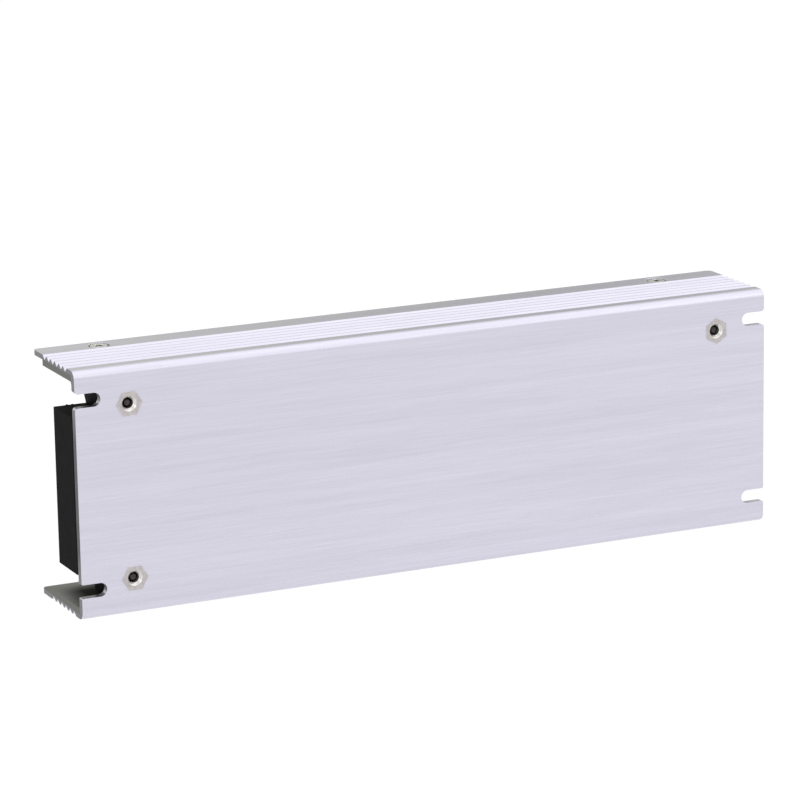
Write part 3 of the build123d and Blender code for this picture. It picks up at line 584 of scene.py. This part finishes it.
piece = Piece("sunk_cover_screws", ["cover_screw_steel", "recess_shade"])
for number, left in enumerate(COVER_SCREWS):
    turned = Matrix.Rotation(0.5 + 0.8 * number, 4, "Z")
    for z, way in ((WIDTH, "Z"), (0, "-Z")):
        place = frame_for(left, COVER_SCREW_DEPTH, z, way) @ turned
        screw(piece, place, SUNK_HEAD, SUNK_CROSS, SMALL_THREAD, length=5.0)
        # a dark ring of recess_shade in the gap between the head and the countersink, as painted shade
        gap = [(2.29, -0.30), (2.52, -0.31), (2.74, -0.09)]
        piece.lathe(gap, place, 72, tint=1)
piece.done(replaced=["cover_screws"])

CLAMP_SPOTS = (78.81, 146.23)
CLAMP_DEPTH, CLAMP_TOP = 16.25, 9.2
piece = Piece("threaded_clamp_screws", ["bright_steel", "recess_shade"])
for left in CLAMP_SPOTS:
    place = frame_for(left, CLAMP_DEPTH, CLAMP_TOP, "Z")
    screw(piece, place, PAN_HEAD, CROSS, SMALL_THREAD, length=8.0)
piece.done(replaced=["clamp_screws"])

# Terminal screws and the square plates that they carry
TERMINAL_SPOT, POLE_PITCH, SCREW_SEAT = 10.4, 8.25, 19.1
CLAMP_HALF, CLAMP_CORNER = 3.0, 3.95
# Each block's side, place along the channel, height of its first screw and number of poles
TERMINALS = (("input", TERMINAL_SPOT, 22.75, 3), ("output", LENGTH - TERMINAL_SPOT, 18.625, 4))
TERMINAL_HEAD = ((2.55, 2.19), (2.8, 2.1), (2.95, 1.9), (2.99, 1.6), (2.99, 0.25), (2.9, 0.0), (1.75, 0.0))
for side, left, first, poles in TERMINALS:
    for n in range(poles):
        place = frame_for(left, SCREW_SEAT, first + POLE_PITCH * n, "Y")
        piece = Piece(f"{side}_clamp_screw_{n + 1}", ["contact_metal", "recess_shade"])
        turned = place @ Matrix.Rotation(0.35 * n + 0.2, 4, "Z")
        screw(piece, turned, TERMINAL_HEAD, SLOTTED_CROSS, TERMINAL_THREAD, length=7.95)
        piece.done(f"{side}_driver_{n + 1}", [f"{side}_screw_{n + 1}"])

        piece = Piece(f"{side}_clamp_plate_{n + 1}", "contact_metal")
        rows = []
        for inset, height in ((0.12, -0.9), (0.0, -0.8), (0.0, -0.1), (0.12, 0.0)):
            row = []
            for k in range(64):
                a = 2 * math.pi * k / 64
                reach = (CLAMP_HALF - inset) / max(abs(math.cos(a)), abs(math.sin(a)))
                reach = min(reach, CLAMP_CORNER - inset)
                row.append(Vector((reach * math.cos(a), reach * math.sin(a), height)))
            rows.append(row)
        hole = ((2.3, 0.0), (2.2, -0.04), (2.15, 0.0), (1.95, 0.0), (1.9, -0.05), (1.9, -0.85), (1.95, -0.9))
        rows += [ring(r, h, 64) for r, h in hole]
        rows.append([Vector((p.x * 0.96, p.y * 0.96, -0.9)) for p in rows[0]])
        rows.append(rows[0])
        piece.rows(rows, place)
        piece.done(f"{side}_clamp_{n + 1}", [f"{side}_washer_{n + 1}"])


# Wound parts
def corner_arcs(half_x, half_y, radius, points):
    """Pairs (x, y) of four arcs round the corners of a rectangle, which gives its half sizes."""
    pairs = []
    for sx, sy, start in ((1, 1, 0), (-1, 1, 1), (-1, -1, 2), (1, -1, 3)):
        for k in range(points):
            a = (start + k / (points - 1)) * math.pi / 2
            pairs.append((sx * half_x + radius * math.cos(a), sy * half_y + radius * math.sin(a)))
    return pairs


# Middles of the wound parts, and the toroid's mean radius
TOROID, TOROID_RADIUS = (146.23, 14.8, 33.0), 7.0
CHOKE = (48.07, 13.4, 26.5)
TRANSFORMER = (115.05, 14.4, 34.0)
# The choke's legs lie this far from its middle, and its coil starts and climbs so along them
CHOKE_LEG, CHOKE_START, CHOKE_PITCH = 6.5, -5.1, 0.83

wire = 0.5
turns_round = 21
section = corner_arcs(2.5, 5.0, wire, 5)
open_half = math.radians(24)
piece = Piece("toroid_wire", "enamel_wire")
path = []
for n in range(turns_round):
    for k, (u, v) in enumerate(section):
        share = (n + k / len(section)) / turns_round
        a = open_half + share * (2 * math.pi - 2 * open_half)
        r = TOROID_RADIUS - u
        path.append((r * math.sin(a), -r * math.cos(a), v))
place = frame_for(*TOROID, "Y")
piece.tube(path, wire, place)
for (x, y, _), heights in ((path[0], (-6.1, -3.0)), (path[-1], (-3.0, -6.1))):
    piece.tube([(x * 1.02, y * 1.02, height) for height in heights], wire * 0.9, place)
piece.done(replaced=["output_inductor_winding"])

piece = Piece("choke_wires", "enamel_wire")
wire = 0.41
for leg in (-CHOKE_LEG, CHOKE_LEG):
    for layer, count in ((0, 13), (1, 12)):
        section = corner_arcs(3.0, 2.5, wire + layer * 0.78, 5)
        path = []
        for n in range(count):
            for k, (u, v) in enumerate(section):
                x = CHOKE_START + 0.42 * layer + (n + k / len(section)) * CHOKE_PITCH
                path.append((u, v, x))
        piece.tube(path, wire, frame_for(CHOKE[0], CHOKE[1], CHOKE[2] + leg, "X"), 7)
piece.done(replaced=["line_choke_windings"])

# Transformer winding: layers of tape whose edges step in towards the bobbin's flanges, and the tape's end
piece = Piece("transformer_tape", "winding_tape")
place = frame_for(*TRANSFORMER, "Y")


def rounded(half_x, half_y, corner, height):
    """Points round a rectangle with round corners."""
    return [Vector((x, y, height)) for x, y in corner_arcs(half_x - corner, half_y - corner, corner, 7)]


layers = [(4.6, 0.02), (0.9, 0.05), (0.55, 0.12), (0.5, 0.3), (0.12, 0.34), (0.1, 0.8), (0.0, 0.84)]
layers += [(0.0, 6.0), (0.1, 6.06), (0.12, 6.55), (0.5, 6.6), (0.55, 6.78), (0.9, 6.82), (4.6, 6.88)]
piece.rows([rounded(11.95 - i, 12.2 - i, 2.8, h) for i, h in layers], place)
flap = [rounded(11.99, 12.24, 2.8, h)[8:16] for h in (1.4, 5.4)]
piece.rows([[p * 1.004 for p in row] for row in flap], place, closed=False)
piece.done(replaced=["transformer_winding"])


# Capacitors in shrunk sleeves, with scored tops
def can(piece, place, radius, long, seal):
    """Can whose top is scored; seal is the length of the crimped end at the bottom."""
    piece.lathe([(0, 0.35), (radius * 0.42, 0.35), (radius * 0.45, 0.18)], place, 60, tint=2)
    bottom = [(radius * 0.45, 0.18), (radius * 0.9, 0.05), (radius - 0.12, 0.0), (radius - 0.05, 0.15)]
    side, waist, lid_radius = radius - 0.04, radius - 0.55, radius - 1.15
    groove = [(side, seal - 0.9), (waist, seal - 0.35), (waist, seal), (side, seal + 0.55)]
    top = [(side, long - 0.6), (radius - 0.25, long - 0.15), (radius - 0.75, long), (lid_radius, long - 0.06)]
    piece.lathe(bottom + groove + top, place, 60)
    lid = [(lid_radius - lid_radius * n / 18, long - 0.16) for n in range(19)]
    piece.lathe(lid, place, 60, driven(radius * 1.5, 0.34, 0.16, 0, 0.3), 1)


BULK_START, BULK_DEPTH, BULK_HEIGHTS = 78.81 - 15.75, 16.6, (49.5, 32.0)
piece = Piece("bulk_capacitor_cans", ["capacitor_sleeve", "can_metal", "bobbin_plastic"])
for z in BULK_HEIGHTS:
    can(piece, frame_for(BULK_START, BULK_DEPTH, z, "X"), radius=7.98, long=31.4, seal=4.0)
piece.done(replaced=["bulk_capacitors"])

OUTPUT_SPOT, OUTPUT_HEIGHTS = 165.9, (18.0, 31.0, 44.0)
piece = Piece("output_capacitor_cans", ["capacitor_sleeve", "can_metal", "bobbin_plastic"])
for z in OUTPUT_HEIGHTS:
    can(piece, frame_for(OUTPUT_SPOT, BOARD_TOP, z, "Y"), radius=4.98, long=15.95, seal=2.6)
piece.done(replaced=["output_capacitors"])


# Dipped discs with coated lead necks
DISC_SPOT, DISC_STAND, LEAD_SPOT = 27.59, 1.5, 2.5


def disc(piece, z, diameter, thick):
    """One dipped disc on its two leads."""
    place = frame_for(DISC_SPOT, BOARD_TOP + DISC_STAND + diameter / 2, z - thick / 2, "Z")
    half = diameter / 2
    profile = [(0, 0.1), (half * 0.55, 0.0), (half * 0.8, thick * 0.06), (half * 0.93, thick * 0.2)]
    profile += [(half, thick * 0.46), (half, thick * 0.56), (half * 0.93, thick * 0.8)]
    profile += [(half * 0.8, thick * 0.94), (half * 0.55, thick), (0, thick - 0.1)]

    def lumpy(r, h, a):
        return r * (1 - 0.012 * math.sin(3 * a + z)), h

    piece.lathe(profile, place, 60, lumpy)
    for side in (-LEAD_SPOT, LEAD_SPOT):
        base = half * math.cos(math.asin(LEAD_SPOT / half))
        drops = (-base + 0.7, -base - 0.2, -half - 0.75, -half - DISC_STAND - 3.05)
        neck = [(side, drop, thick / 2) for drop in drops]
        piece.tube(neck[:2], 0.62, place, 12)
        piece.tube(neck[1:3], 0.48, place, 12)
        piece.tube(neck[2:], 0.28, place, 10, 1)


for name, spots, diameter, thick, coat in (
    ("varistor", (18.5,), 10.0, 4.0, "disc_coating"),
    ("inrush_thermistor", (29.0,), 11.0, 5.0, "thermistor_coating"),
    ("y_capacitors", (42.0, 52.0), 8.0, 4.2, "disc_coating"),
):
    piece = Piece(f"{name}_disc", [coat, "contact_metal"])
    for z in spots:
        disc(piece, z, diameter, thick)
    piece.done(replaced=[name])

# Fuse: ceramic tube, pressed caps and bent leads
FUSE = (31.0, 11.2, 9.0)
piece = Piece("ceramic_fuse", ["fuse_body", "contact_metal"])
place = frame_for(*FUSE, "X")
piece.lathe([(2.38, -6.5), (2.4, -4.4), (2.4, 4.4), (2.38, 6.5)], place, 48)
cap = [(2.4, 4.3), (2.52, 4.35), (2.58, 4.6), (2.54, 5.4), (2.58, 6.0), (2.58, 8.6), (2.4, 8.9)]
cap += [(1.1, 9.0), (0.9, 9.3), (0, 9.35)]
lead = ((0, 9.2), (0, 11.2), (-0.12, 11.55), (-0.45, 11.7), (-5.6, 11.7))
for side in (-1, 1):
    piece.lathe([(r, side * h) for r, h in cap], place, 48, tint=1)
    piece.tube([(x, 0, side * z) for x, z in lead], 0.29, place, 10, 1)
piece.done(replaced=["fuse"])

# Indicator lamp with a dome and a rim at its foot
LAMP_SPOT, LAMP_HEIGHT = 172.0, 8.5
piece = Piece("lamp_dome", "lamp_lens")
dome = [(1.49, 0.0), (1.49, 0.7), (1.42, 0.78), (1.36, 0.85), (1.36, 3.1)]
dome += [(1.36 * math.cos(a), 3.1 + 1.38 * math.sin(a)) for a in steps(0, math.pi / 2, math.pi / 20)[1:]]
piece.lathe(dome, frame_for(LAMP_SPOT, BOARD_TOP, LAMP_HEIGHT, "Y"), 40, first=True)
piece.done(replaced=["indicator_lamp"])


# Insulating tray: the bent edge of its wing beside the upper slot, and the wavy rim that its cutting left
piece = Piece("tray_wing_edge", "tray_plastic")
# left and height of each corner of the wing's edge, whose slanted side alone is drawn in at its ends
outline = ((9.55, 51.05), (8.65, 51.05), (8.35, 52.6), (7.75, 55.6), (7.55, 57.4), (8.3, 58.4), (9.55, 58.6))
place = frame_for(0, 0, 0, "Y")
rows = []
for inset, depth in ((0.1, 2.3), (0.0, 2.5), (0.0, 15.6), (0.1, 15.9)):
    rows.append([Vector((left + (0.5 if left < 9 else 0.0) * inset, -z, depth)) for left, z in outline])
piece.rows(rows, place, first=True, last=True)
TRAY_NECK_TOP = 51.0
MOUND_FOOT = TRAY_NECK_TOP - 0.3
for left, wide, high in ((3.7, 0.9, 0.20), (5.1, 0.8, 0.16)):
    mound = [(wide * (n / 8 - 0.5), high * math.sin(math.pi * n / 8)) for n in range(9)]
    rows = []
    for share, depth in ((0.0, 14.9), (1.0, 15.1), (1.0, 15.95), (0.0, TRAY_TOP)):
        rows.append([Vector((left + x, -(MOUND_FOOT + share * (y + 0.3)), depth)) for x, y in mound])
    piece.rows(rows, place, closed=False)
piece.done()


# World and lights: metal and glass see the white background, greyer behind, and the rest a level light
def seen_share(tree):
    """Two shares: one for rays from the camera, from gloss and through glass, and one for gloss alone."""
    path = tree.nodes.new("ShaderNodeLightPath")
    seen = sums(tree, "MAXIMUM", path.outputs["Is Camera Ray"], path.outputs["Is Glossy Ray"])
    return sums(tree, "MAXIMUM", seen, path.outputs["Is Transmission Ray"]), path.outputs["Is Glossy Ray"]


world = bpy.data.worlds.new("studio")
bpy.context.scene.world = world
world.use_nodes = True
wt = world.node_tree
wt.nodes.clear()
seen, glossy = seen_share(wt)
level = wt.nodes.new("ShaderNodeBackground")
level.inputs["Color"].default_value = (0.97, 0.98, 1.0, 1.0)
level.inputs["Strength"].default_value = 0.62
white = wt.nodes.new("ShaderNodeBackground")
way = split(wt, wt.nodes.new("ShaderNodeTexCoord").outputs["Generated"])
behind = sums(wt, "MULTIPLY", spread(wt, way["Y"], 0.76, 0.86), glossy)
grey = spread(wt, way["X"], 0.31, 0.45, 0.225, 0.66)
link(wt, sums(wt, "SUBTRACT", 1.0, sums(wt, "MULTIPLY", behind, grey)), white.inputs["Strength"])
link(wt, blend_colour(wt, behind, (1, 1, 1), (0.99, 1.0, 0.89)), white.inputs["Color"])
both = wt.nodes.new("ShaderNodeMixShader")
out = wt.nodes.new("ShaderNodeOutputWorld")
link(wt, seen, both.inputs[0])
link(wt, level.outputs[0], both.inputs[1])
link(wt, white.outputs[0], both.inputs[2])
link(wt, both.outputs[0], out.inputs["Surface"])


def lamp(name, place, target, wide, high, power):
    """Area light at place that looks at target."""
    data = bpy.data.lights.new(name, "AREA")
    data.shape = "RECTANGLE"
    data.size = wide
    data.size_y = high
    data.energy = power
    o = bpy.data.objects.new(name, data)
    bpy.context.scene.collection.objects.link(o)
    way = Vector(target) - Vector(place)
    o.matrix_world = Matrix.Translation(place) @ way.to_track_quat("-Z", "Y").to_matrix().to_4x4()


lamp("overhead_panel", (0.38, -0.10, 0.92), (0.05, 0, 0.03), 1.2, 1.7, 2.45)
lamp("front_panel", (0.50, -0.92, 0.66), (0.05, 0, 0.05), 0.9, 0.5, 0.55)
lamp("left_panel", (-0.85, -0.55, 0.45), (0, 0, 0.03), 0.5, 0.5, 0.4)

# Floor
floor_mesh = bpy.data.meshes.new("floor")
reach = 9.0
corners = [(-reach, -reach, 0), (reach, -reach, 0), (reach, reach, 0), (-reach, reach, 0)]
floor_mesh.from_pydata(corners, [], [(0, 1, 2, 3)])
floor = bpy.data.objects.new("floor", floor_mesh)
# just under the part's lowest faces, so that the two don't fight
floor.location.z = -0.00005
bpy.context.scene.collection.objects.link(floor)
floor_material = bpy.data.materials.new("floor")
floor_material.use_nodes = True
ft = floor_material.node_tree
ft.nodes.clear()
share = sums(ft, "MULTIPLY", seen_share(ft)[0], 0.82)
matte = ft.nodes.new("ShaderNodeBsdfDiffuse")
grain = noise(ft, object_point(ft, (0.01, 0.01, 0.01)), 1.0, 3.0)
link(ft, blend_colour(ft, grain, (0.90, 0.90, 0.90), (0.94, 0.94, 0.94)), matte.inputs["Color"])
glow = ft.nodes.new("ShaderNodeEmission")
glow.inputs["Strength"].default_value = 1.12
both = ft.nodes.new("ShaderNodeMixShader")
out = ft.nodes.new("ShaderNodeOutputMaterial")
link(ft, share, both.inputs[0])
link(ft, matte.outputs[0], both.inputs[1])
link(ft, glow.outputs[0], both.inputs[2])
link(ft, both.outputs[0], out.inputs["Surface"])
floor_mesh.materials.append(floor_material)
